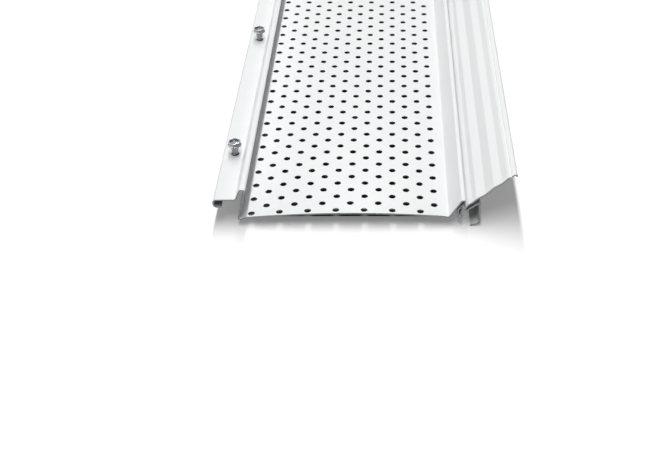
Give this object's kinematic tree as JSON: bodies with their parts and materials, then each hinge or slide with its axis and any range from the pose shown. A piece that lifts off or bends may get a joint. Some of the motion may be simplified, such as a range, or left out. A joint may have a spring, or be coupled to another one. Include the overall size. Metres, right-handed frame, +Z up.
{
  "type": "gutter guard",
  "caption": "Perforated aluminium gutter guard: screwed front flange, recessed deck with round holes, and a ribbed rear flange that hooks on the gutter and tucks under shingles.",
  "frame": {"origin": "on the floor plane under the middle of the guard's width and length", "axes": "+X from the gutter's front lip to the roof, +Y along the gutter, +Z up"},
  "size_m": [0.155, 0.9144, 0.0318],
  "materials": {
    "white_enamel_aluminium": "white baked enamel, smooth, semi-gloss",
    "zinc_plated_steel": "bright zinc plating"
  },
  "bodies": {
    "root": {"perforated_panel": "white_enamel_aluminium", "rear_flange": "white_enamel_aluminium", "screw_01": "zinc_plated_steel", "screw_02": "zinc_plated_steel", "screw_03": "zinc_plated_steel", "screw_04": "zinc_plated_steel", "screw_05": "zinc_plated_steel", "screw_06": "zinc_plated_steel", "screw_07": "zinc_plated_steel"}
  },
  "joints": []
}
